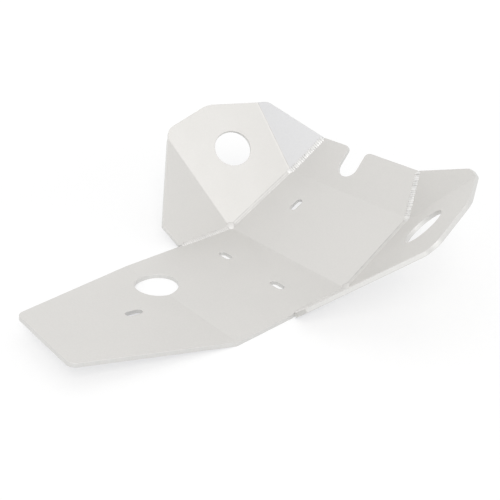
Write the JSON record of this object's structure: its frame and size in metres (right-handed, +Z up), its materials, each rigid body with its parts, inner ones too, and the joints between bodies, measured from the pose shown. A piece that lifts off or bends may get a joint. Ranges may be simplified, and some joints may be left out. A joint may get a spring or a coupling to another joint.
{
  "type": "motorcycle skid plate",
  "caption": "Folded aluminium plate that shields the underside of a motorcycle's engine, with raised side wings, access holes and bolt slots.",
  "frame": {"origin": "middle of the bounding box, on the underside of the flat middle panel that the plate rests on", "axes": "+X forward to the nose, +Y to the left, +Z up, square to the middle panel"},
  "size_m": [0.38, 0.349, 0.1127],
  "materials": {
    "sheet": "satin, lightly tumbled",
    "weld": "as welded, brushed over"
  },
  "bodies": {
    "root": {"skid_plate": "sheet", "weld_front_left": "weld", "weld_front_right": "weld", "weld_rear_left": "weld", "weld_rear_right": "weld"}
  },
  "joints": []
}
